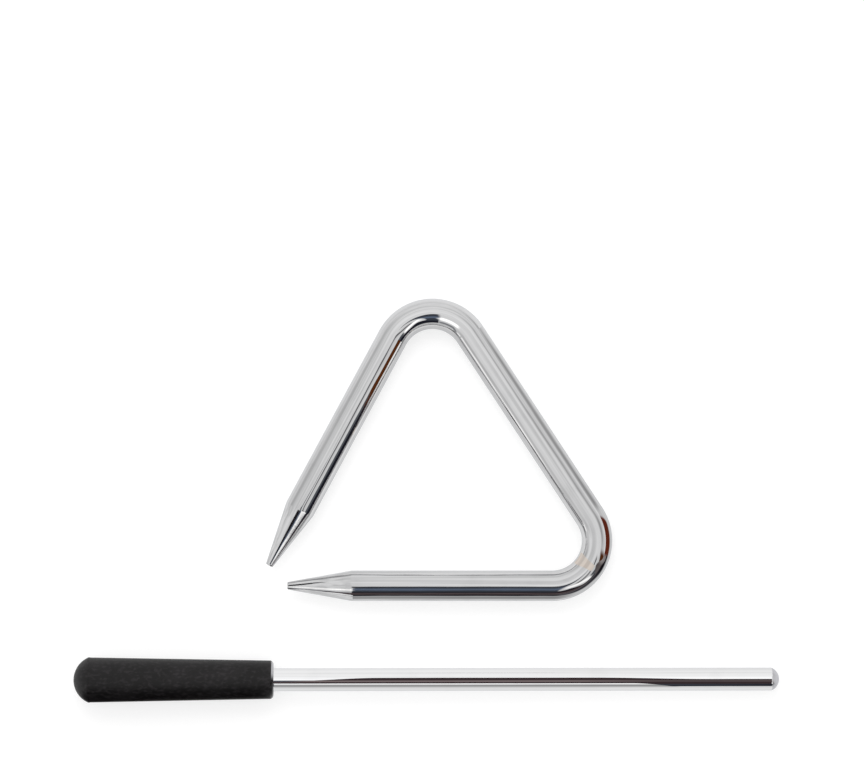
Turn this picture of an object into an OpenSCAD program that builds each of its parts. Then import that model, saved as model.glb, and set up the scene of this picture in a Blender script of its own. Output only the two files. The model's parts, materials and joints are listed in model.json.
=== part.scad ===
// Musical triangle with its beater, laid side by side on a table.
// The triangle is one steel bar, bent twice and turned to a taper at both free ends. It lies
// flat, with its open corner at the lower left and its bottom leg along X.
// The beater is a steel rod with a domed end, pushed into a moulded rubber grip. It lies in
// front of the triangle along X, with its grip on the left, and rests on grip and tip.
// Lengths are in millimetres. The origin is the middle of the footprint, on the table.

/* [Triangle bar] */
// Diameter of the steel bar
bar_d = 9; // [6:0.1:11]
// Radius of both bends, measured along the middle of the bar
bend_r = 13.3; // [10:0.1:17]
// Closed side, between the two sharp corners that its centre line would have without bends
closed_side = 111.1; // [95:0.1:135]
// Angle inside the top corner
top_angle = 61.77; // [57:0.01:65]
// Angle inside the closed lower corner
closed_angle = 56.66; // [52:0.01:62]

/* [Free ends of the triangle] */
// Length of the taper that is turned on each free end
taper_len = 19; // [10:0.1:25]
// Diameter of the flat that is left on each tip
tip_d = 2.2; // [1:0.1:3.5]
// How far the left leg stops short of the third sharp corner
left_tip_gap = 6.8; // [6:0.1:14]
// How far the bottom leg stops short of the third sharp corner
bottom_tip_gap = 8.6; // [6:0.1:14]

/* [Beater rod] */
// Whole beater, end to end along its axis
beater_len = 208; // [180:0.5:250]
// Diameter of the beater's steel rod
rod_d = 6.8; // [5.5:0.1:8]
// Height of the dome on the rod's free end
rod_dome_h = 2.3; // [1:0.1:2.6]
// Chamfer on the rod's hidden end, inside the grip
rod_chamfer = 0.5; // [0.2:0.1:1]

/* [Beater grip] */
// Length of the rubber grip, with its domed end
grip_len = 58.9; // [45:0.1:75]
// Diameter of the grip where its domed end starts, its widest place
grip_d = 13.4; // [12.5:0.1:16]
// Diameter of the grip at its mouth, where the rod comes out
mouth_d = 11.3; // [10.6:0.1:12.5]
// Height of the domed end
grip_dome_h = 4.5; // [2:0.1:5.5]
// Rubber that is left between the bore's floor and the top of the domed end
bore_floor = 8.9; // [6.5:0.1:14]
// Chamfer round the outer edge of the mouth
mouth_edge = 0.3; // [0.1:0.05:0.6]
// Chamfer that leads the rod into the bore
lead_in = 0.4; // [0.1:0.05:0.8]
// Glue gap round the rod inside the bore
glue_gap = 0.03; // [0.01:0.01:0.1]

/* [How the pair lies] */
// Distance between the beater's axis and the middle of the triangle's bottom leg
lay_gap = 27.6; // [18:0.1:60]
// How far the closed lower corner stands in from the beater's tip, along X
corner_inset = 42.4; // [10:0.1:80]

/* [Hidden] */
$fn = 96;

// Cutters run past the faces that they open by this much
overrun = 0.5;
// Degrees by which a bend is first turned too far, before it is cut off
over_turn = 5;

// Headings in the table plane, in degrees from +X
left_angle = 180 - top_angle - closed_angle;
left_heading = 180 + left_angle;

// Full lengths of the two open sides, up to the third sharp corner, and of the legs on them
bottom_side = closed_side * sin(top_angle) / sin(left_angle);
left_side = closed_side * sin(closed_angle) / sin(left_angle);
bottom_leg = bottom_side - bottom_tip_gap;
left_leg = left_side - left_tip_gap;

// What each bend takes off the two straights that meet in it
top_cut = bend_r / tan(top_angle / 2);
closed_cut = bend_r / tan(closed_angle / 2);

// Straight runs of full-diameter bar that are left between bends and tapers
bottom_run = bottom_leg - taper_len - closed_cut;
closed_run = closed_side - closed_cut - top_cut;
left_run = left_leg - top_cut - taper_len;

// How far the outside of the top bend lies behind the middle of the bottom leg
top_corner_y = closed_side * sin(closed_angle);
top_bend_y = top_corner_y + bend_r / sin(top_angle / 2) * sin(left_heading + top_angle / 2);
triangle_reach = top_bend_y + bend_r + bar_d / 2;

// Stations along the beater's axis, from the top of the grip's domed end
grip_edge_at = grip_dome_h;
mouth_edge_at = grip_len - mouth_edge;
rod_edge_at = beater_len - rod_dome_h;

// The beater leans until the grip's widest rim and the rod's last edge both touch the table
beater_tilt = max(lean(grip_edge_at, grip_d), lean(mouth_edge_at, mouth_d));

// The middle between the two end balls puts both ends of the beater equally far from x = 0
grip_ball_r = ball_radius(grip_d / 2, grip_dome_h);
rod_ball_r = ball_radius(rod_d / 2, rod_dome_h);
beater_middle_at = (grip_ball_r + beater_len - rod_ball_r) / 2;
beater_x = (grip_ball_r - rod_ball_r) / 2;
beater_z = (rod_edge_at - beater_middle_at) * sin(beater_tilt) + rod_d / 2 * cos(beater_tilt);

// The footprint runs from the front of the grip to the back of the top bend
bottom_leg_y = (lay_gap + grip_d / 2 - triangle_reach) / 2;
beater_y = bottom_leg_y - lay_gap;
closed_corner_x = beater_len / 2 - corner_inset;

bore_d = rod_d + 2 * glue_gap;

// Diameter that the sleeve's taper would reach at the very end, before the dome is turned
grip_taper = (grip_d - mouth_d) / (mouth_edge_at - grip_edge_at);
grip_blank_d = grip_d + grip_taper * grip_edge_at;

// Radius of the ball whose cap has this base radius and height
function ball_radius(base_r, cap_h) = (base_r * base_r + cap_h * cap_h) / (2 * cap_h);

// Lean of the line that touches the rod's last edge and a rim of this diameter
function lean(rim_at, rim_d) = atan((rim_d - rod_d) / 2 / (rod_edge_at - rim_at));

// A stretch of bar along +X, and whatever follows at its far end
module stretch(len, start_d = bar_d, end_d = bar_d) {
    rotate([0, 90, 0])
        cylinder(d1 = start_d, d2 = end_d, h = len);
    translate([len, 0, 0])
        children();
}

// The bar bent to the left, and whatever follows at the bend's end. The bend is turned a
// little too far and then cut off square to the run that follows, so that the two meet flush.
module bend(turn) {
    translate([0, bend_r, 0]) {
        difference() {
            rotate([0, 0, -90])
                rotate_extrude(angle = turn + over_turn)
                    translate([bend_r, 0])
                        rotate(-90)
                            circle(d = bar_d);
            rotate([0, 0, turn])
                translate([0, -bend_r - bar_d, -bar_d])
                    cube([bar_d, 2 * bar_d, 2 * bar_d]);
        }
        rotate([0, 0, turn])
            translate([0, -bend_r, 0])
                children();
    }
}

// What is turned off a round blank that stands on z = 0, to leave a cap of this ball there
module dome_waste(ball_r) {
    difference() {
        translate([0, 0, -overrun])
            cylinder(r = ball_r + overrun, h = ball_r + overrun);
        translate([0, 0, ball_r])
            sphere(r = ball_r);
    }
}

// Puts what stands along +Z, with the grip's domed end at z = 0, where the beater lies
module laid_beater() {
    translate([beater_x, beater_y, beater_z])
        rotate([0, 90 + beater_tilt, 0])
            translate([0, 0, -beater_middle_at])
                children();
}

// The one bar, followed from the tip of the bottom leg round both bends to the left tip
module triangle_rod() {
    color("gainsboro")
        translate([closed_corner_x - bottom_leg, bottom_leg_y, bar_d / 2])
            stretch(taper_len, tip_d, bar_d)
                stretch(bottom_run)
                    bend(180 - closed_angle)
                        stretch(closed_run)
                            bend(180 - top_angle)
                                stretch(left_run)
                                    stretch(taper_len, bar_d, tip_d);
}

// Solid rod: chamfered butt on the bore's floor, long shaft, domed striking end
module beater_rod() {
    color("silver")
        laid_beater()
            difference() {
                union() {
                    translate([0, 0, bore_floor])
                        cylinder(d1 = rod_d - 2 * rod_chamfer, d2 = rod_d, h = rod_chamfer);
                    translate([0, 0, bore_floor + rod_chamfer])
                        cylinder(d = rod_d, h = beater_len - bore_floor - rod_chamfer);
                }
                translate([0, 0, beater_len])
                    mirror([0, 0, 1])
                        dome_waste(rod_ball_r);
            }
}

// Sleeve of the grip: it narrows to the mouth, and its blank end stands on z = 0
module grip_blank() {
    cylinder(d1 = grip_blank_d, d2 = mouth_d, h = mouth_edge_at);
    translate([0, 0, mouth_edge_at])
        cylinder(d1 = mouth_d, d2 = mouth_d - 2 * mouth_edge, h = mouth_edge);
}

// Moulded rubber grip: domed end, sleeve, blind bore with a lead-in
module beater_grip() {
    color("dimgray")
        laid_beater()
            difference() {
                grip_blank();
                dome_waste(grip_ball_r);
                translate([0, 0, bore_floor])
                    cylinder(d = bore_d, h = grip_len - bore_floor + overrun);
                translate([0, 0, grip_len - lead_in])
                    cylinder(d1 = bore_d, d2 = bore_d + 2 * lead_in, h = lead_in);
            }
}

triangle_rod();
beater_rod();
beater_grip();
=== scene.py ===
# %% [markdown]
# A musical triangle and its beater, dressed for a photograph
#
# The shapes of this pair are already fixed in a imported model: a steel bar bent into a triangle, a
# steel rod, and a rubber grip. This lesson builds smooth meshes of the same three pieces, gives
# them their finishes, and sets up a plain table, soft light and a camera.
# Everything is in metres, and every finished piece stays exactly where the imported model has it.

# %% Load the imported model
import json
from math import asin, cos, degrees, pi, radians, sin, tan

import bmesh
import bpy
from mathutils import Matrix, Vector


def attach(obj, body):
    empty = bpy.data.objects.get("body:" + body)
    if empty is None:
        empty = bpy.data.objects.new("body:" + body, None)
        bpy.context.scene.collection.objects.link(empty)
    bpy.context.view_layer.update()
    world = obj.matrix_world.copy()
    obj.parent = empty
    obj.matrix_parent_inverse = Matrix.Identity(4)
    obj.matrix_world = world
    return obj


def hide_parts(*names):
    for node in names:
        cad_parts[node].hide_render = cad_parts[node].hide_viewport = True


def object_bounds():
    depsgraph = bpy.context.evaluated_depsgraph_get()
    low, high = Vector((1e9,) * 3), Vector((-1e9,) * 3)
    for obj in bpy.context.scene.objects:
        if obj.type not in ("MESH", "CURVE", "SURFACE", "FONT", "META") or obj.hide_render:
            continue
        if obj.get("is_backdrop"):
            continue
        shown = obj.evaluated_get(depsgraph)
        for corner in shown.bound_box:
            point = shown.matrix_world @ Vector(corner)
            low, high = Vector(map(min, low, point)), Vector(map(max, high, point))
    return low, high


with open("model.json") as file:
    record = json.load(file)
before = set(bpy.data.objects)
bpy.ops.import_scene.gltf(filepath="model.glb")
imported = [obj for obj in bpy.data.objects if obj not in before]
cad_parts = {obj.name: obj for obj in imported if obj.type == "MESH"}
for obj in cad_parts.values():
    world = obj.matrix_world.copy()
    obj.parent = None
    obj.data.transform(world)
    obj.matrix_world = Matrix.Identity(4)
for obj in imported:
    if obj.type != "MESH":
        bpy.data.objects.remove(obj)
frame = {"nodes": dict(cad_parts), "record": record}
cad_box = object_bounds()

print("pieces in the model:", sorted(frame["nodes"]))

# %% [markdown]
# Sizes
#
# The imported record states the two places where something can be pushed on: the straight bottom
# leg of the triangle, and the bare shaft of the beater. Each gives a middle, a direction, a radius
# and a length, so most of what follows hangs on those two. The bends, tapers and the grip's own
# sizes can't be read from them, so they are named here, once.

# %% Sizes of the triangle
MM = 0.001
mounts = {mount["name"]: mount for mount in frame["record"]["mounts"]}
leg, shaft = mounts["bottom_leg"], mounts["beater_shaft"]

BAR_R = leg["dims"]["r_mm"] * MM
LEG_RUN = leg["dims"]["length_mm"] * MM
BEND_R = 13.3 * MM
CLOSED_SIDE = 111.1 * MM
TOP_ANGLE = radians(61.77)
CLOSED_ANGLE = radians(56.66)
TAPER = 19 * MM
TIP_R = 1.1 * MM
LEFT_TIP_GAP = 6.8 * MM

closed_cut = BEND_R / tan(CLOSED_ANGLE / 2)
top_cut = BEND_R / tan(TOP_ANGLE / 2)
closed_run = CLOSED_SIDE - closed_cut - top_cut
left_side = CLOSED_SIDE * sin(CLOSED_ANGLE) / sin(TOP_ANGLE + CLOSED_ANGLE)
left_run = left_side - LEFT_TIP_GAP - TAPER - top_cut
print(f"straight runs: {LEG_RUN / MM:.1f}, {closed_run / MM:.1f} and {left_run / MM:.1f} mm")

# %% Sizes of the beater, as stations along its axis from the top of the grip's dome
ROD_R = shaft["dims"]["r_mm"] * MM
BEATER = 208 * MM
ROD_DOME = 2.3 * MM
ROD_CHAMFER = 0.5 * MM
GRIP = 58.9 * MM
GRIP_R = 6.7 * MM
MOUTH_R = 5.65 * MM
GRIP_DOME = 4.5 * MM
BORE_FLOOR = 8.9 * MM
LEAD_IN = 0.4 * MM
BORE_R = ROD_R + 0.03 * MM

shaft_middle = (GRIP + BEATER - ROD_DOME) / 2
print(f"the bare shaft is {(BEATER - ROD_DOME - GRIP) / MM:.1f} mm long, the record says",
      shaft["dims"]["length_mm"])

# %% [markdown]
# The triangle's bar
#
# The real one is a drawn steel bar. Its two ends are turned to a taper in a lathe, and then it is
# bent twice round a former. A curve with a bevel would give the bends, but not the crisp shoulders
# of the tapers. So the mesh grows as the bar does: it starts as one ring of vertices at a tip, and
# each step extrudes the last ring and moves the copy along the leg or round the bend.
#
# While it grows, every vertex also notes where it would lie if the bar were still straight. The
# finish reads that place, so its fine lengthwise lines follow the bends as they do in drawn steel.

# %% A bar that grows ring by ring
AROUND = 96


class Bar:
    def __init__(self, start, radius):
        self.mesh = bmesh.new()
        self.straight = self.mesh.verts.layers.float_vector.new("straight")
        self.place = Matrix.Translation(start)
        self.radius = radius
        self.travel = 0
        self.shoulders = []
        upright = Matrix.Rotation(pi / 2, 4, "Y")
        ring = bmesh.ops.create_circle(self.mesh, cap_ends=True, segments=AROUND, radius=radius,
                                       matrix=self.place @ upright)
        self.ring = ring["verts"]
        self.edges = [edge for edge in self.mesh.edges if edge.is_boundary]
        self.note()
        self.corner()

    def note(self):
        """Notes on the newest ring where it would lie on the straight bar."""
        back = self.place.inverted()
        for vertex in self.ring:
            local = back @ vertex.co
            vertex[self.straight] = (self.travel, local.y, local.z)

    def corner(self):
        """Remembers the newest ring as a turned edge, which is rounded at the end."""
        self.shoulders.append(list(self.edges))

    def grow(self, move, step, radius):
        """Extrudes the newest ring, and moves and widens the copy."""
        made = bmesh.ops.extrude_edge_only(self.mesh, edges=self.edges)["geom"]
        self.ring = [item for item in made if isinstance(item, bmesh.types.BMVert)]
        fresh = set(self.ring)
        self.edges = [item for item in made if isinstance(item, bmesh.types.BMEdge)
                      and set(item.verts) <= fresh]
        widen = Matrix.Scale(radius / self.radius, 4)
        bmesh.ops.transform(self.mesh, verts=self.ring,
                            matrix=self.place @ move @ widen @ self.place.inverted())
        self.place = self.place @ move
        self.radius = radius
        self.travel += step
        self.note()

    def run(self, length, step, end_radius):
        """A straight stretch, in equal steps, that ends with this radius."""
        steps = max(1, round(length / step))
        gain = (end_radius - self.radius) / steps
        for _ in range(steps):
            self.grow(Matrix.Translation((length / steps, 0, 0)), length / steps, self.radius + gain)

    def bend(self, turn, steps):
        """A bend to the left round a point that lies one bend radius to the side."""
        out, home = Matrix.Translation((0, BEND_R, 0)), Matrix.Translation((0, -BEND_R, 0))
        move = out @ Matrix.Rotation(turn / steps, 4, "Z") @ home
        for _ in range(steps):
            self.grow(move, BEND_R * turn / steps, self.radius)

    def close(self):
        """Closes the far end, as the near end was closed when the bar began."""
        self.corner()
        bmesh.ops.edgeloop_fill(self.mesh, edges=self.edges)


# %% Grow it from the bottom tip, round both bends, to the left tip
FINE_STEP = 0.5 * MM
LONG_STEP = 1.5 * MM
BEND_STEPS = 64

leg_start = Vector(leg["pos_m"]) - Vector((LEG_RUN / 2 + TAPER, 0, 0))
bar = Bar(leg_start, TIP_R)
bar.run(TAPER, FINE_STEP, BAR_R)
bar.corner()
bar.run(LEG_RUN, LONG_STEP, BAR_R)
bar.bend(pi - CLOSED_ANGLE, BEND_STEPS)
bar.run(closed_run, LONG_STEP, BAR_R)
bar.bend(pi - TOP_ANGLE, BEND_STEPS)
bar.run(left_run, LONG_STEP, BAR_R)
bar.corner()
bar.run(TAPER, FINE_STEP, TIP_R)
bar.close()
print(f"the bar is {bar.travel / MM:.1f} mm long before it is bent,",
      len(bar.mesh.verts), "vertices")

# %% [markdown]
# Real edges are never perfectly sharp. A lathe tool leaves the tips and the shoulders of the
# tapers with a tiny rounding, and that rounding is what catches a line of light. The operator
# needs its profile given, because its default isn't the editor's.

# %% Round the turned edges, and finish the mesh
TIP_ROUND = 0.16 * MM
SHOULDER_ROUND = 0.28 * MM


def round_edges(mesh, edges, width, segments=3):
    bmesh.ops.bevel(mesh, geom=edges, offset=width, offset_type="OFFSET", segments=segments,
                    profile=0.5, affect="EDGES", material=-1)


def as_object(mesh, name):
    """Turns a bmesh into an object at the origin."""
    data = bpy.data.meshes.new(name)
    mesh.to_mesh(data)
    mesh.free()
    thing = bpy.data.objects.new(name, data)
    bpy.context.scene.collection.objects.link(thing)
    return thing


def finish_mesh(mesh, name, body, node):
    """Makes a smooth piece that rides on a body and stands for a node."""
    bmesh.ops.recalc_face_normals(mesh, faces=mesh.faces)
    for face in mesh.faces:
        face.smooth = len(face.verts) <= 4
    piece = as_object(mesh, name)
    even = piece.modifiers.new("even_shading", "WEIGHTED_NORMAL")
    even.keep_sharp = True
    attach(piece, body)
    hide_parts(node)
    return piece


near_tip, near_shoulder, far_shoulder, far_tip = bar.shoulders
round_edges(bar.mesh, near_tip + far_tip, TIP_ROUND)
round_edges(bar.mesh, near_shoulder + far_shoulder, SHOULDER_ROUND)
triangle = finish_mesh(bar.mesh, "triangle_bar", "triangle", "triangle_rod")
print("triangle_bar:", len(triangle.data.polygons), "faces")

# %% [markdown]
# The beater's shaft and grip
#
# Both are round about one axis, so each is a profile that is spun once round. The profile is drawn
# in the XZ plane on a bench at the origin, standing on its end, and only then laid on the table
# along the axis that the record gives. A profile keeps just the corners that its shape needs, and
# an arc fills in each dome.

# %% Spin a profile, and lay it where the beater lies
DOME_STEPS = 20


def dome(radius, height, top, way):
    """Points of a shallow dome, from its rim to its top, which lies at this station."""
    ball = (radius * radius + height * height) / (2 * height)
    spread = asin(radius / ball)
    points = []
    for step in range(DOME_STEPS + 1):
        angle = spread * (1 - step / DOME_STEPS)
        points.append((ball * sin(angle), top - way * ball * (1 - cos(angle))))
    return points


def spin_profile(points):
    """A closed solid of revolution about Z, from its profile of (radius, station) points."""
    mesh = bmesh.new()
    corners = [mesh.verts.new((radius, 0, station)) for radius, station in points]
    for one, other in zip(corners, corners[1:]):
        mesh.edges.new((one, other))
    bmesh.ops.spin(mesh, geom=mesh.verts[:] + mesh.edges[:], cent=(0, 0, 0), axis=(0, 0, 1),
                   dvec=(0, 0, 0), angle=2 * pi, steps=AROUND, use_merge=True)
    bmesh.ops.remove_doubles(mesh, verts=mesh.verts, dist=0.001 * MM)
    return mesh


def rings_at(mesh, radius, station):
    """The edges of the ring with this radius at this station."""
    near = 0.01 * MM
    return [edge for edge in mesh.edges
            if all(abs(end.co.z - station) < near and abs(end.co.xy.length - radius) < near
                   for end in edge.verts)]


def lay_down(mesh):
    """Notes each vertex's place on the bench, and lays the mesh along the beater's axis."""
    straight = mesh.verts.layers.float_vector.new("straight")
    for vertex in mesh.verts:
        vertex[straight] = (vertex.co.z, vertex.co.x, vertex.co.y)
    axis = Vector(shaft["axis"]).normalized()
    turn = axis.to_track_quat("Z", "Y").to_matrix().to_4x4()
    start = Vector(shaft["pos_m"]) - axis * shaft_middle
    bmesh.ops.transform(mesh, matrix=Matrix.Translation(start) @ turn, verts=mesh.verts)


# %% [markdown]
# The shaft's profile starts at its butt, which is chamfered so that it slips into the grip, and ends
# in the shallow dome that strikes the triangle. Its straight part needs no corners in between. The
# rim of the dome is rounded a little, as a file would leave it.

# %% The shaft
DOME_RIM_ROUND = 0.18 * MM

shaft_profile = [(0, BORE_FLOOR), (ROD_R - ROD_CHAMFER, BORE_FLOOR)]
shaft_profile += [(ROD_R, BORE_FLOOR + ROD_CHAMFER), (ROD_R, GRIP)]
shaft_profile += dome(ROD_R, ROD_DOME, BEATER, 1)
shaft_mesh = spin_profile(shaft_profile)
round_edges(shaft_mesh, rings_at(shaft_mesh, ROD_R, BEATER - ROD_DOME), DOME_RIM_ROUND)
lay_down(shaft_mesh)
shaft_piece = finish_mesh(shaft_mesh, "beater_shaft", "beater", "beater_rod")
print("beater_shaft:", len(shaft_piece.data.polygons), "faces")

# %% [markdown]
# The rim where the grip's dome starts is the mould's parting line, and it stands out as a thin
# bead. The mouth is rolled over towards the bore, as on a sleeve that was dipped or trimmed, so it
# shows as a soft bulge round the shaft.

# %% The grip
RIM_ROUND = 0.1 * MM
BEAD = 0.1 * MM
BEAD_WIDE = 0.35 * MM
LIP_LONG = 1.0 * MM
LIP_DEEP = 1.4 * MM
LIP_STEPS = 8

grip_profile = dome(GRIP_R, GRIP_DOME, 0, -1)[::-1]
grip_profile += [(GRIP_R - BEAD, GRIP_DOME + BEAD_WIDE)]
for lip_step in range(LIP_STEPS + 1):
    angle = radians(90) * lip_step / LIP_STEPS
    grip_profile.append((MOUTH_R - LIP_DEEP * (1 - cos(angle)), GRIP - LIP_LONG * (1 - sin(angle))))
grip_profile += [(BORE_R + LEAD_IN, GRIP), (BORE_R, GRIP - LEAD_IN)]
grip_profile += [(BORE_R, BORE_FLOOR), (0, BORE_FLOOR)]
grip_mesh = spin_profile(grip_profile)
round_edges(grip_mesh, rings_at(grip_mesh, GRIP_R, GRIP_DOME)
            + rings_at(grip_mesh, GRIP_R - BEAD, GRIP_DOME + BEAD_WIDE), RIM_ROUND)
lay_down(grip_mesh)
grip = finish_mesh(grip_mesh, "beater_grip_rubber", "beater", "beater_grip")
print("beater_grip_rubber:", len(grip.data.polygons), "faces")

# %% [markdown]
# Writing a finish as sums
#
# A finish is a tree of nodes, and most of it is arithmetic. Wiring Math nodes by hand hides what
# they say, so a small class wraps a socket and lets Python's own signs add the nodes. Every other
# node comes from one method, which takes its type, its settings and what goes into its sockets.

# %% Sockets that can be added and multiplied
class Wire:
    """The output socket of a node, which can stand in a sum."""

    def __init__(self, recipe, socket):
        self.recipe, self.socket = recipe, socket

    def math(self, operation, one, other=0.0):
        node = self.recipe.add("ShaderNodeMath", {"operation": operation}, {0: one, 1: other})
        return Wire(self.recipe, node.outputs[0])

    def __add__(self, other):
        return self.math("ADD", self, other)

    def __sub__(self, other):
        return self.math("SUBTRACT", self, other)

    def __mul__(self, other):
        return self.math("MULTIPLY", self, other)

    def __rsub__(self, other):
        return self.math("SUBTRACT", other, self)

    def __abs__(self):
        return self.math("ABSOLUTE", self)

    __radd__ = __add__
    __rmul__ = __mul__


class Recipe:
    """The node tree of one finish, of the table or of the room."""

    def __init__(self, tree):
        self.tree = tree
        tree.nodes.clear()

    def add(self, kind, settings, sockets):
        """Adds a node: its settings first, then a value or a wire for each socket."""
        node = self.tree.nodes.new(kind)
        for name, value in settings.items():
            setattr(node, name, value)
        for key, value in sockets.items():
            if isinstance(value, Wire):
                self.tree.links.new(value.socket, node.inputs[key])
            else:
                node.inputs[key].default_value = value
        return node

    def wire(self, kind, settings, sockets, output=0):
        return Wire(self, self.add(kind, settings, sockets).outputs[output])

    def step(self, value, low, high):
        """0 below low, 1 above high, and a soft rise between them."""
        return self.wire("ShaderNodeMapRange", {"interpolation_type": "SMOOTHSTEP"},
                         {"Value": value, "From Min": low, "From Max": high})

    def inside(self, value, low, high, soft):
        """1 between low and high, falling softly to 0 outside."""
        risen = self.step(value, low - soft, low + soft)
        return risen * (1 - self.step(value, high - soft, high + soft))

    def near(self, value, middle, reach):
        """1 at the middle, falling softly to 0 at this reach on both sides."""
        return 1 - self.step(abs(value - middle), 0, reach)

    def blend(self, amount, one, other):
        """A colour that goes from one to the other."""
        return self.wire("ShaderNodeMix", {"data_type": "RGBA"}, {0: amount, 6: one, 7: other}, 2)

    def stretched(self, place, scale):
        """The place, with each of its directions scaled."""
        return self.wire("ShaderNodeVectorMath", {"operation": "MULTIPLY"}, {0: place, 1: scale})

    def noise(self, place, scale, detail=2.0):
        return self.wire("ShaderNodeTexNoise", {}, {"Vector": place, "Scale": scale, "Detail": detail})

    def bumps(self, height, depth):
        """A surface that this height raises, by this depth at most."""
        return self.wire("ShaderNodeBump", {}, {"Strength": 1.0, "Distance": depth, "Height": height})

    def straight_place(self):
        """The place that each vertex had on the straight bar, or on the bench."""
        return self.wire("ShaderNodeAttribute", {"attribute_name": "straight"}, {}, 1)

    def split(self, place):
        """The three parts of a place."""
        parts = self.add("ShaderNodeSeparateXYZ", {}, {0: place})
        return [Wire(self, output) for output in parts.outputs]


def new_finish(name):
    material = bpy.data.materials.new(name)
    material.use_nodes = True
    return material, Recipe(material.node_tree)


def coat(piece, material, recipe, sockets):
    """Ends a finish with its shader, and puts it on a piece."""
    shader = recipe.wire("ShaderNodeBsdfPrincipled", {}, sockets)
    recipe.add("ShaderNodeOutputMaterial", {}, {0: shader})
    piece.data.materials.append(material)
    print("finish:", material.name, "with", len(recipe.tree.nodes), "nodes")


# %% [markdown]
# Bright chrome
#
# Chrome plating is a mirror that sends back about half of the light, so in a white room it looks
# light grey. What makes it look real is the bar under it. Drawing the bar leaves faint lengthwise
# ridges, which pull straight reflections into wavering streaks, and finer lines that dull it in
# places. Handling leaves soft smears. The tapers come from a lathe, so their fine lines run round.
# All of it follows the bends, because it reads the place that each vertex had on the straight bar.
# A pattern on the object's own coordinates would cut across them instead.

# %% The chrome of the bar
CHROME = (0.605, 0.605, 0.61, 1.0)
CHROME_DULL = (0.455, 0.455, 0.46, 1.0)
EDGE_TINT = (0.86, 0.87, 0.88, 1.0)
RIDGE_HEIGHT = 0.1 * MM

material, recipe = new_finish("chromed_steel_bar")
place = recipe.straight_place()
along = recipe.split(place)[0]
turned = 1 - recipe.inside(along, TAPER, bar.travel - TAPER, 0.05 * MM)

# Each pattern has so many waves to the metre along the bar, and so many across it
ridges = recipe.noise(recipe.stretched(place, (22, 420, 420)), 1.0, 2.0)
waves = recipe.noise(recipe.stretched(place, (60, 300, 300)), 1.0, 2.0)
drawn = recipe.noise(recipe.stretched(place, (50, 2600, 2600)), 1.0, 2.0)
rings = recipe.noise(recipe.stretched(place, (5200, 60, 60)), 1.0, 1.0)
streaks = recipe.noise(recipe.stretched(place, (9, 800, 800)), 1.0, 2.0)
smears = recipe.noise(place, 160.0, 4.0)

height = ridges * 0.5 + waves * 0.6 + drawn * (1 - turned) * 0.012 + rings * turned * 0.12
dull = recipe.step(streaks, 0.40, 0.60) * 0.8 + recipe.step(smears, 0.5, 0.75) * 0.2
tone = recipe.blend(dull, CHROME, CHROME_DULL)
rough = 0.025 + dull * 0.03 + turned * 0.03
coat(triangle, material, recipe, {
    "Base Color": tone, "Metallic": 1.0, "Roughness": rough, "Specular Tint": EDGE_TINT,
    "Normal": recipe.bumps(height, RIDGE_HEIGHT)})

# %% [markdown]
# The beater's shaft is ground before it is plated, so it is straighter than the bar, and its streaks
# are finer. Its chrome is painted brighter than the bar's, a painted brightening for the stronger
# light that falls on the beater. Its domed end is turned and only lightly polished, so it looks satin.

# %% The chrome of the shaft
# A painted brightening: both tones are lighter than the bar's chrome, for the stronger light on the
# beater
ROD_CHROME_PAINTED_BRIGHTER = (0.775, 0.775, 0.78, 1.0)
ROD_DULL_PAINTED_BRIGHTER = (0.70, 0.70, 0.705, 1.0)
ROD_SATIN = (0.50, 0.50, 0.52, 1.0)
GRIND_HEIGHT = 0.03 * MM

material, recipe = new_finish("chromed_steel_rod")
place = recipe.straight_place()
along = recipe.split(place)[0]
domed = recipe.step(along, BEATER - ROD_DOME - 0.05 * MM, BEATER - ROD_DOME + 0.25 * MM)

ridges = recipe.noise(recipe.stretched(place, (14, 420, 420)), 1.0, 2.0)
drawn = recipe.noise(recipe.stretched(place, (40, 3500, 3500)), 1.0, 2.0)
rings = recipe.noise(recipe.stretched(place, (6000, 200, 200)), 1.0, 1.0)
streaks = recipe.noise(recipe.stretched(place, (7, 1100, 1100)), 1.0, 2.0)
smears = recipe.noise(place, 120.0, 4.0)

height = ridges * 0.6 + drawn * (1 - domed) * 0.03 + rings * domed * 0.08
dull = recipe.step(streaks, 0.42, 0.62) * 0.6 + recipe.step(smears, 0.5, 0.75) * 0.3
# The painted brightening of the shaft's chrome goes into its tone here
tone = recipe.blend(domed, recipe.blend(dull, ROD_CHROME_PAINTED_BRIGHTER, ROD_DULL_PAINTED_BRIGHTER), ROD_SATIN)
rough = 0.03 + dull * 0.02 + domed * 0.27
coat(shaft_piece, material, recipe, {
    "Base Color": tone, "Metallic": 1.0, "Roughness": rough, "Specular Tint": EDGE_TINT,
    "Normal": recipe.bumps(height, GRIND_HEIGHT)})

# %% [markdown]
# Black moulded rubber
#
# The grip is a moulded sleeve of black rubber. It takes hardly any light, so most of what the eye
# sees is a broad, weak sheen, lighter on the side that faces the light. The skin is finely mottled,
# with pale dust in the pores and a few smears along it. Its rolled mouth is smoother. The back half
# of the lip, which faces the light from behind, is painted pale grey: a painted highlight that shows
# as a pale crescent.

# %% The rubber of the grip
RUBBER = (0.0025, 0.0020, 0.0022, 1.0)
RUBBER_DUSTY = (0.0145, 0.0125, 0.0138, 1.0)
# A painted highlight: pale grey on the half of the lip that faces the light from behind
LIP_HIGHLIGHT_PAINT = (0.42, 0.42, 0.44, 1.0)
SKIN_DEPTH = 0.05 * MM
SHEEN = 0.29

material, recipe = new_finish("black_rubber")
place = recipe.straight_place()
along, aside = recipe.split(place)[:2]
mouth = recipe.step(along, GRIP - LIP_LONG, GRIP - LIP_LONG * 0.6)
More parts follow.
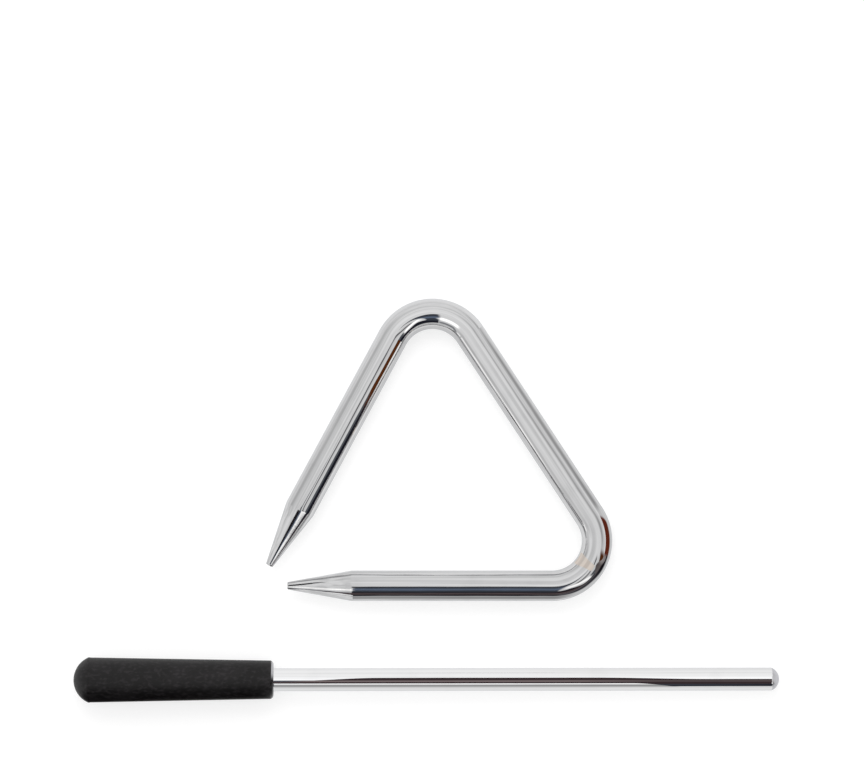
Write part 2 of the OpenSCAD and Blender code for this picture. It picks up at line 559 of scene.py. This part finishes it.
# Where the painted highlight goes: the lip, on its half that faces the light from behind
painted_lip_highlight = recipe.step(along, GRIP - LIP_LONG * 0.75, GRIP - LIP_LONG * 0.5)
painted_lip_highlight = painted_lip_highlight * recipe.step(aside, 0.2 * MM, 2.4 * MM)

mottle = recipe.noise(place, 800.0, 4.0)
pores = recipe.noise(place, 5200.0, 2.0)
dust = recipe.noise(recipe.stretched(place, (110, 260, 260)), 1.0, 5.0)
specks = recipe.noise(recipe.stretched(place, (700, 1200, 1200)), 1.0, 3.0)

height = (mottle * 0.6 + pores * 0.3) * (1 - mouth)
dusty = recipe.step(dust, 0.42, 0.70) * 0.35 + recipe.step(specks, 0.47, 0.66) * 0.75
# The lip's painted highlight is laid over the rubber here
tone = recipe.blend(painted_lip_highlight, recipe.blend(dusty, RUBBER, RUBBER_DUSTY), LIP_HIGHLIGHT_PAINT)
rough = 0.48 + mottle * 0.12 - mouth * 0.42
coat(grip, material, recipe, {
    "Base Color": tone, "Roughness": rough, "Specular IOR Level": SHEEN,
    "Normal": recipe.bumps(height, SKIN_DEPTH)})

# %% [markdown]
# The table
#
# A product picture like this has a plain white ground. The table is a wide pale sheet. Seen
# straight on, or mirrored in the chrome, it glows a little, so that it comes out white without
# more light falling on the pair, and it still carries their soft shadow.

# %% A pale table
TABLE_SIZE = 2.4
TABLE_PAINT = (0.42, 0.42, 0.42, 1.0)
TABLE_GLOW = 0.64


def stage_piece(name, mesh):
    """A mesh that belongs to the studio and not to the pair."""
    thing = as_object(mesh, name)
    thing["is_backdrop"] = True
    return thing


sheet_mesh = bmesh.new()
bmesh.ops.create_grid(sheet_mesh, x_segments=1, y_segments=1, size=TABLE_SIZE / 2)
table = stage_piece("table", sheet_mesh)

material, recipe = new_finish("white_table")
rays = recipe.add("ShaderNodeLightPath", {}, {})
seen = sum(Wire(recipe, rays.outputs[f"Is {kind} Ray"])
           for kind in ("Camera", "Glossy", "Transmission"))
seen = recipe.wire("ShaderNodeClamp", {}, {0: seen})
paint = recipe.wire("ShaderNodeBsdfDiffuse", {}, {"Color": TABLE_PAINT})
glow = recipe.wire("ShaderNodeEmission", {}, {"Strength": seen * TABLE_GLOW})
sheet = recipe.wire("ShaderNodeAddShader", {}, {0: paint, 1: glow})
recipe.add("ShaderNodeOutputMaterial", {}, {0: sheet})
table.data.materials.append(material)
print("table:", TABLE_SIZE, "m square")

# %% [markdown]
# The room
#
# Chrome has no colour of its own: what it shows is the room. A small white tent gives it its even
# greys, and the seams of the tent show as faint darker rings that follow every bend. The tent
# is open at the front, where a dark room shows below a dark cloth round the camera. Some brown
# wood stands at the right. Those give the black, blue and brown bands. All of them are written as
# ranges of two angles in degrees: level, measured round from the front towards the right, and
# from_top, measured down from straight above. The camera itself sees plain white behind the table.

# %% The tent and its seams
SEAMS = (
    # Middle and half width in level, middle and half height in from_top, and how dark it is
    (123, 40, 84, 16, 0.45),
    (123, 40, 40, 14, 0.36),
    (-118, 40, 70, 20, 0.32),
    (-118, 40, 36, 14, 0.14),
    (-57, 30, 57, 16, 0.32),
    (95, 30, 39, 14, 0.42))
TENT_LIGHT = 1.04

world = bpy.data.worlds.new("white_tent")
bpy.context.scene.world = world
world.use_nodes = True
recipe = Recipe(world.node_tree)

way = recipe.wire("ShaderNodeTexCoord", {}, {}, 0)
east, north, up = recipe.split(way)
level = recipe.wire("ShaderNodeMath", {"operation": "ARCTAN2"}, {0: east, 1: 0 - north}) * degrees(1)
from_top = recipe.wire("ShaderNodeMath", {"operation": "ARCCOSINE"}, {0: up}) * degrees(1)

glow_behind = (1 - recipe.step(from_top, 10, 60)) * recipe.step(abs(level), 100, 150)
light = TENT_LIGHT + glow_behind * 0.12
for side, half_width, down, half_height, depth in SEAMS:
    seam = recipe.near(level, side, half_width) * recipe.near(from_top, down, half_height)
    light = light * (1 - seam * depth)
folds = recipe.noise(recipe.stretched(way, (3.0, 3.0, 5.0)), 1.0, 2.0)
light = light * (1.04 - recipe.step(folds, 0.4, 0.65) * 0.08)
colour = recipe.blend(light, (0, 0, 0, 1), (1, 1, 1, 1))
colour.socket.node.clamp_factor = False
print("the tent has", len(SEAMS), "seams")

# %% [markdown]
# Beyond the tent's opening lies the dark room, with a hazy floor at its right end. The bright
# panels are the edges of the tent, which the opening leaves on both sides. Each patch is a range
# of level times a range of from_top, and where a band climbs or falls along a leg, its range of
# from_top moves with level. Later patches are laid over the earlier ones.

# %% What shows beyond it, at the front and at the right
DARK_ROOM = (0.018, 0.02, 0.03, 1.0)
DIM_ROOM = (0.20, 0.21, 0.23, 1.0)
GREY_ARC = (0.05, 0.05, 0.06, 1.0)
HAZE = (0.13, 0.14, 0.155, 1.0)
WOOD = (0.13, 0.038, 0.009, 1.0)
BRIGHT = (2.0, 1.98, 1.95, 1.0)

# The opening and the haze in it
slope = recipe.step(level, 20, 58)
sill = 44 + recipe.step(level, 20, 40) * 17 - recipe.step(level, 50, 58) * 3
opening = recipe.inside(level, -9, 61.6, 0.8) * recipe.inside(from_top, sill, slope * 13 + 71, 2)
haze = recipe.inside(level, 47, 61.6, 0.8) * recipe.inside(from_top, 46, 60.5, 2)

# A grey arc above the opening, which climbs towards the right
bow = recipe.step(level, 45, 62) * 12
arc = recipe.near(from_top + bow, 30, 9) * recipe.inside(level, 30, 64, 3)

# The wood, and a bright strip below it
drop = recipe.step(level, 62, 88) * 22
wood = recipe.step(level, 60.5, 61.0) * (1 - recipe.step(level, 71, 79))
wood = wood * recipe.inside(from_top + drop, 45, 74, 2)
below_wood = recipe.inside(level, 61.1, 66, 0.5) * recipe.step(from_top, 73, 76)
below_wood = below_wood * (1 - recipe.step(from_top, 83, 88))

# The bright edges of the tent above the opening
rise = recipe.wire("ShaderNodeMath", {"operation": "MAXIMUM"}, {0: level - 22, 1: 0.0}) * 0.9
bright_right = recipe.inside(from_top - rise, 25, 38, 4) * recipe.inside(level, 18, 46, 5)
bright_left = recipe.inside(from_top, 23, 41, 4) * recipe.inside(level, -40, -9, 4)

# A dim line at the left, and the bright ground below it
fall = 21 - recipe.step(level, -47, -33) * 21
left_line = recipe.near(from_top - fall, 62, 13) * recipe.inside(level, -66, -9, 4)
left_line = left_line * (1 - recipe.inside(level, -60, -50, 4) * 0.8)
left_bright = recipe.near(from_top, 76, 9) * recipe.inside(level, -70, -43, 3)
left_bright = left_bright * (1 - recipe.inside(level, -54.4, -51.5, 0.5))

patches = ((left_line * 0.9, DIM_ROOM), (left_bright * 0.9, BRIGHT), (opening, DARK_ROOM),
           (haze, HAZE), (arc, GREY_ARC), (wood, WOOD), (below_wood * 0.8, BRIGHT),
           (bright_right, BRIGHT), (bright_left, BRIGHT))
for amount, shade in patches:
    colour = recipe.blend(amount, colour, shade)
print(len(patches), "patches beyond the tent")

# %% [markdown]
# The camera needs a dark cloth round it, or its own picture would show in the chrome. The cloth
# hangs just in front of straight above, so it gives the bottom leg its slate blue band. It catches
# a little cool light in its middle. The last nodes let the camera see plain white.

# %% The dark cloth round the camera
CLOTH = (0.06, 0.07, 0.088, 1.0)
CLOTH_LIT = (0.175, 0.225, 0.32, 1.0)

cloth = recipe.step(0 - north, 0.065, 0.095) * (1 - recipe.step(from_top, 46, 60))
cloth = cloth * recipe.step(level, -13, -6) * (1 - recipe.step(east, 0.09, 0.13))
cloth = cloth * (1 - recipe.near(from_top, 33, 8) * (1 - recipe.step(level, -8, -3)))
cloth_tone = recipe.blend(recipe.near(from_top, 26, 14), CLOTH, CLOTH_LIT)
colour = recipe.blend(cloth, colour, cloth_tone)

tent = recipe.wire("ShaderNodeBackground", {}, {"Color": colour, "Strength": 1.0})
plain = recipe.wire("ShaderNodeBackground", {}, {"Color": (1, 1, 1, 1), "Strength": 1.0})
rays = recipe.add("ShaderNodeLightPath", {}, {})
camera_ray = Wire(recipe, rays.outputs["Is Camera Ray"])
room = recipe.wire("ShaderNodeMixShader", {}, {0: camera_ray, 1: tent, 2: plain})
recipe.add("ShaderNodeOutputWorld", {}, {0: room})
print("the room has", len(recipe.tree.nodes), "nodes")

# %% [markdown]
# Cards close to the pieces
#
# A room is far away, so every leg shows it the same. What differs from place to place stands close
# by. Photographers place small cards round a shiny piece, just out of the picture, and each draws
# one line in it. Only mirror reflections see these, so they cast no shadow and bounce no light.
# A card is a grid whose points come from a small function, with u along the card and v across it.
# Its paint comes from a second function, which reads the place on the card in millimetres.

# %% A card, and what it shows
def card(name, spot, segments, shade):
    """A bent card of so many segments, which glows with its shade."""
    mesh = bmesh.new()
    bmesh.ops.create_grid(mesh, x_segments=segments, y_segments=1, size=0.5)
    for vertex in mesh.verts:
        vertex.co = spot(vertex.co.x + 0.5, vertex.co.y + 0.5)
    thing = stage_piece(name, mesh)
    thing.visible_camera = False
    thing.visible_diffuse = False
    thing.visible_shadow = False
    material, recipe = new_finish(name + "_paint")
    place = recipe.wire("ShaderNodeTexCoord", {}, {}, 3)
    x, y, z = (part * (1 / MM) for part in recipe.split(place))
    glow = recipe.wire("ShaderNodeEmission", {}, {"Color": shade(recipe, x, y, z)})
    recipe.add("ShaderNodeOutputMaterial", {}, {0: glow})
    thing.data.materials.append(material)
    print("card:", name, "from", [round(value / MM) for value in spot(0, 0)], "mm")


def between(low, high, share):
    return low + (high - low) * share


def ease(value, low, high):
    """0 below low, 1 above high, and a soft rise between them, for numbers."""
    share = min(max((value - low) / (high - low), 0), 1)
    return share * share * (3 - 2 * share)


# %% [markdown]
# The shaft gets four. A white one in front leaves only a thin dark line, with a grey line below
# it, and it drops near the tip, where the dark band widens. A dark strip above gives the band its
# brown tint. A white one behind keeps the triangle out of it, so it is taller beside the grip's
# mouth and where the closed bend's own card stands. The last one hangs close above the shaft. It
# brightens the upper side, and its near edge keeps to the edge of the dark band.

# %% Where the shaft's cards stand
FRONT_TOP = 15.35 * MM
FRONT_DROP = 5.9 * MM
BACK_TOP = 3.6
STRIP_LIFT = 20 * MM
STRIP_FRONT = -17.5 * MM
TOP_LIFT = 6 * MM
TOP_FAR = 6.6 * MM

axis_y = shaft["pos_m"][1]
tilt = shaft["axis"][2] / shaft["axis"][0]
mouth_x = shaft["pos_m"][0] - shaft["dims"]["length_mm"] / 2 * MM
tip_x = shaft["pos_m"][0] + shaft["dims"]["length_mm"] / 2 * MM


def axis_z(x):
    """Height of the beater's axis, which leans down towards the tip."""
    return shaft["pos_m"][2] + tilt * (x - shaft["pos_m"][0])


def strip_edge(x):
    """How far behind the axis the dark strip ends, which sets the upper edge of the band."""
    widened = 12.6 * ease(x, mouth_x, mouth_x + 32 * MM)
    return (-5.2 + widened - 5.4 * ease(x, 50 * MM, 85 * MM)) * MM


def shaft_front(u, v):
    x = between(mouth_x + 0.1 * MM, tip_x + 14 * MM, u)
    top = FRONT_TOP - FRONT_DROP * ease(x, 61 * MM, 75 * MM)
    return x, axis_y - ROD_R - 2 * MM, v * top + axis_z(x) - axis_z(mouth_x)


def shaft_above(u, v):
    x = between(mouth_x - 0.8 * MM, tip_x + 5 * MM, u)
    return x, axis_y + between(STRIP_FRONT, strip_edge(x), v), axis_z(x) + STRIP_LIFT


def shaft_behind(u, v):
    x = between(mouth_x, tip_x + 3 * MM, u)
    top = BACK_TOP + 3.2 * (1 - ease(x, mouth_x + 5 * MM, mouth_x + 11 * MM))
    top += 1.4 * (ease(x, 43 * MM, 48 * MM) - ease(x, 64 * MM, 69 * MM))
    return x, axis_y + ROD_R + 2.6 * MM, v * (axis_z(x) + top * MM)


def shaft_top(u, v):
    x = between(mouth_x - 0.3 * MM, tip_x + 2 * MM, u)
    edge = max(strip_edge(x), 0) * 0.4 + 0.25 * MM
    return x, axis_y + between(edge, TOP_FAR, v), axis_z(x) + ROD_R + TOP_LIFT


print(f"the shaft's cards run from {mouth_x / MM:.1f} to {tip_x / MM:.1f} mm")


# %% What the shaft's cards show
def front_shade(recipe, x, y, z):
    z = z - (x - mouth_x / MM) * tilt
    shine = 0.95 + recipe.step(z, 12.9, 14.2) * 0.45 - recipe.near(z, 11.0, 3.2) * 0.62
    return recipe.blend(shine * 0.5, (0, 0, 0, 1), (2, 2, 2, 1))


def above_shade(recipe, x, y, z):
    lit = recipe.near(y - axis_y / MM, -4, 5) * (1 - recipe.step(x, 40, 75) * 0.6)
    return recipe.blend(lit, (0.045, 0.030, 0.033, 1), (0.24, 0.195, 0.195, 1))


def behind_shade(recipe, x, y, z):
    return recipe.blend(recipe.step(z, 2, 8), (1.0, 1.0, 1.0, 1), (1.08, 1.08, 1.08, 1))


def top_shade(recipe, x, y, z):
    away = recipe.step(y - axis_y / MM, 0.9, 6.6)
    return recipe.blend(away, (1.27, 1.27, 1.28, 1), (1.08, 1.08, 1.08, 1))


LONG_CARD_STEPS = 48
card("shaft_front_card", shaft_front, LONG_CARD_STEPS, front_shade)
card("shaft_dark_strip", shaft_above, LONG_CARD_STEPS, above_shade)
card("shaft_back_card", shaft_behind, LONG_CARD_STEPS, behind_shade)
card("shaft_top_card", shaft_top, LONG_CARD_STEPS, top_shade)

# %% [markdown]
# The triangle gets one long card. It stands just outside the bar, from the shoulder of the bottom
# leg round the closed bend and up the right leg. On it are a pale band under the bottom leg's dark
# one, a black and then a brown patch at the bend, and a soft grey line along the right leg. Its top
# sets the inner edge of the dark marks, and a short peak halfway round the bend shades the chrome
# between the black patch and the brown one. The turn is measured round the middle of the bend.

# %% Where the long card stands
CARD_GAP = 9.5 * MM
CARD_TOP = 10.7
PEAK = 8.0

bend_middle = Vector(leg["pos_m"]) + Vector((LEG_RUN / 2, BEND_R, 0))
last_turn = pi / 2 - CLOSED_ANGLE


def beside_bar(u, v):
    """Along the bottom leg, round the closed bend, and on along the right leg."""
    reach = BEND_R + CARD_GAP
    arc = reach * (pi - CLOSED_ANGLE)
    travel = u * (LEG_RUN + arc + closed_run)
    turn = min(max((travel - LEG_RUN) / reach - pi / 2, -pi / 2), last_turn)
    ahead = min(travel - LEG_RUN, 0) + max(travel - LEG_RUN - arc, 0)
    side = degrees(turn)
    top = CARD_TOP + 0.6 * ease(side, -45, -15) - 1.5 * ease(side, 26, 33)
    top += PEAK * max(0, 1 - ((side + 29) / 8) ** 2)
    return (bend_middle.x + reach * cos(turn) - ahead * sin(turn),
            bend_middle.y + reach * sin(turn) + ahead * cos(turn), v * top * MM)


# %% What the long card shows
INK = (0.01, 0.01, 0.014, 1)
LEG_INK = (0.015, 0.015, 0.02, 1)
BROWN = (0.19, 0.036, 0.016, 1)


def bar_shade(recipe, x, y, z):
    across, back = x - bend_middle.x / MM, y - bend_middle.y / MM
    turn = recipe.wire("ShaderNodeMath", {"operation": "ARCTAN2"}, {0: back, 1: across}) * degrees(1)

    # The pale ground, with a grey line that begins after the bend
    pale = 0.62 - recipe.near(z, 6.6, 2.4) * 0.18 + (1 - recipe.step(z, 1.5, 4)) * 0.75
    plain = recipe.step(turn, -88, -60)
    grey_line = recipe.near(z, 7.4, 4.5) * recipe.step(turn, 30, 40) * (1 - recipe.step(y, 45, 62))
    pale = pale * (1 - plain) + plain * (1.0 - grey_line * 0.52)

    # Where the paint starts, how softly, and where it ends
    low = 9.2 - recipe.step(turn, -88, -50) * 2.8 - recipe.step(turn, -50, -30) * 1.8
    low = low + recipe.step(turn, -30, -14) * 0.5
    soft = 0.4 + recipe.step(turn, -80, -50) * 0.9 - recipe.step(turn, -22, -14) * 0.7
    patch = recipe.step(z, low - soft, low + soft)
    patch = patch * (1 - recipe.step(turn + (11.2 - z) * (11.2 - z) * 0.2, 24, 29))

    # Its colours, from the bottom leg on: black, dark grey, black under grey, and brown
    rise = (1 - recipe.step(turn, -28, -20)) * 2.0
    grey = recipe.blend(recipe.step(turn, -28, -21), (0.17, 0.145, 0.14, 1), (0.42, 0.38, 0.37, 1))
    paint = recipe.blend(recipe.step(z - rise, 6.9, 7.5), INK, grey)
    deep = recipe.blend(recipe.step(z, 8.5, 10.5), (0.05, 0.05, 0.06, 1), (0.16, 0.15, 0.16, 1))
    paint = recipe.blend(recipe.step(turn, -45, -28), deep, paint)
    paint = recipe.blend(recipe.step(turn, -86, -78), LEG_INK, paint)
    paint = recipe.blend(recipe.step(turn, -18, -13), paint, BROWN)
    return recipe.blend(patch, recipe.blend(pale * 0.5, (0, 0, 0, 1), (2, 2, 2, 1)), paint)


card("bar_card", beside_bar, 160, bar_shade)

# %% [markdown]
# Four small cards draw single marks. A warm arch over the closed bend leaves the pale tan patch
# across it. It stands so close that no other place shows it. A dark strip over the left tip draws
# the line along that taper, and a slate one over the bottom leg sharpens the upper edge of its dark
# band. A black card in front of the grip deepens its lower half.

# %% The small cards over the triangle
WARM_AT = radians(-34)
WARM_FAR = 7.6 * MM
WARM_HALF = 1.1 * MM
LINE_LIFT = 22 * MM
LINE_WIDE = 6.5 * MM
EDGE_LIFT = 14 * MM

third_corner = Vector(leg["pos_m"]) + Vector((LEG_RUN / 2 + closed_cut, 0, 0))
third_corner -= Vector((CLOSED_SIDE * sin(TOP_ANGLE) / sin(TOP_ANGLE + CLOSED_ANGLE), 0, 0))
left_angle = 2 * pi - TOP_ANGLE - CLOSED_ANGLE
left_heading = Vector((cos(left_angle), sin(left_angle), 0))
left_tip = third_corner - left_heading * LEFT_TIP_GAP


def warm_arch(u, v):
    out = Vector((cos(WARM_AT), sin(WARM_AT), 0))
    lean = radians(between(-100, 22, u))
    aside = Vector((-out.y, out.x, 0)) * between(-WARM_HALF, WARM_HALF, v)
    return bend_middle + out * BEND_R + (out * sin(lean) + Vector((0, 0, cos(lean)))) * WARM_FAR + aside


def warm_shade(recipe, x, y, z):
    place = recipe.wire("ShaderNodeCombineXYZ", {}, {0: x, 1: y, 2: z})
    return recipe.blend(recipe.noise(recipe.stretched(place, (0.3, 0.3, 0.3)), 1.0),
                        (1.0, 0.93, 0.86, 1), (1.12, 0.98, 0.86, 1))


def taper_line(u, v):
    aside = Vector((-left_heading.y, left_heading.x, 0)) * (v - 0.5) * LINE_WIDE
    spot = left_tip + left_heading * between(-14, 9, u) * MM + aside
    return spot.x, spot.y, LINE_LIFT


def dark_shade(recipe, x, y, z):
    return recipe.blend(recipe.step(z, 0, 30), (0.01, 0.01, 0.012, 1), (0.02, 0.02, 0.024, 1))


def leg_line(u, v):
    x = between(leg["pos_m"][0] - LEG_RUN / 2 - 0.5 * MM, bend_middle.x + 2 * MM, u)
    return x, leg["pos_m"][1] - between(1.4, 0.25, v) * MM, EDGE_LIFT


def slate_shade(recipe, x, y, z):
    return recipe.blend(recipe.step(z, 0, 30), (0.07, 0.075, 0.09, 1), (0.09, 0.095, 0.11, 1))


card("warm_arch_card", warm_arch, 24, warm_shade)
card("taper_line_card", taper_line, 1, dark_shade)
card("leg_line_card", leg_line, 1, slate_shade)


# %% The small card in front of the grip
def grip_front(u, v):
    x = between(mouth_x - 62 * MM, mouth_x - 1.5 * MM, u)
    return x, axis_y - 8.6 * MM, between(4.8, 21, v) * MM


def grip_shade(recipe, x, y, z):
    return recipe.blend(recipe.step(z, 10, 20), (0.014, 0.010, 0.011, 1), (0.05, 0.043, 0.046, 1))


card("grip_front_card", grip_front, 1, grip_shade)

# %% [markdown]
# The key light
#
# One large soft lamp stands behind the pair, high and a little to the left. It shapes the grip and
# lays a faint shadow on the table. A mirror image of it would burn a white patch into the chrome,
# where the tent shows already, so it isn't visible to mirror rays.

# %% A soft lamp behind
LAMP_POWER = 1.4

lamp_data = bpy.data.lights.new("key", "AREA")
lamp_data.shape = "RECTANGLE"
lamp_data.size = 0.5
lamp_data.size_y = 0.35
lamp_data.energy = LAMP_POWER
key = bpy.data.objects.new("key", lamp_data)
key.location = (-0.08, 0.42, 0.5)
key.rotation_euler = (Vector((0, 0, 0)) - key.location).to_track_quat("-Z", "Y").to_euler()
key.visible_glossy = False
bpy.context.scene.collection.objects.link(key)
print("lamp:", lamp_data.size, "by", round(lamp_data.size_y, 2), "m,", LAMP_POWER, "W")

# %% [markdown]
# The camera
#
# The photograph looks straight down on the pair. Its frame is 864 pixels wide, and the beater's
# 208 mm take up 705 of them, which fixes the distance for any one lens. The bands in the chrome
# keep to the same angles on all three legs, so the lens was a long one, from about a metre away.

# %% A camera straight above
FRAME_WIDE = 864
FRAME_HIGH = 762
MM_PER_PIXEL = 0.295
ORIGIN_PIXEL = (426.8, 500.3)
LENS = 150.0
SENSOR = 36.0

distance = MM_PER_PIXEL * MM * FRAME_WIDE * LENS / SENSOR
camera_data = bpy.data.cameras.new("camera")
camera_data.lens = LENS
camera_data.sensor_width = SENSOR
camera_data.clip_start = 0.01
camera_data.clip_end = 20
camera = bpy.data.objects.new("camera", camera_data)
camera.location = ((FRAME_WIDE / 2 - ORIGIN_PIXEL[0]) * MM_PER_PIXEL * MM,
                   (ORIGIN_PIXEL[1] - FRAME_HIGH / 2) * MM_PER_PIXEL * MM,
                   leg["pos_m"][2] + distance)
bpy.context.scene.collection.objects.link(camera)
bpy.context.scene.camera = camera
bpy.context.scene.view_settings.view_transform = "Standard"
print(f"camera {camera.location.z:.3f} m above the table")

# %% [markdown]
# The last step compares the size of the dressed pair with that of the imported model.

# %% Compare the sizes
dressed_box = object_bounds()
for name, first, second in zip(("lowest", "highest"), cad_box, dressed_box):
    print(name, "corner differs by", [round((b - a) / MM, 3) for a, b in zip(first, second)], "mm")
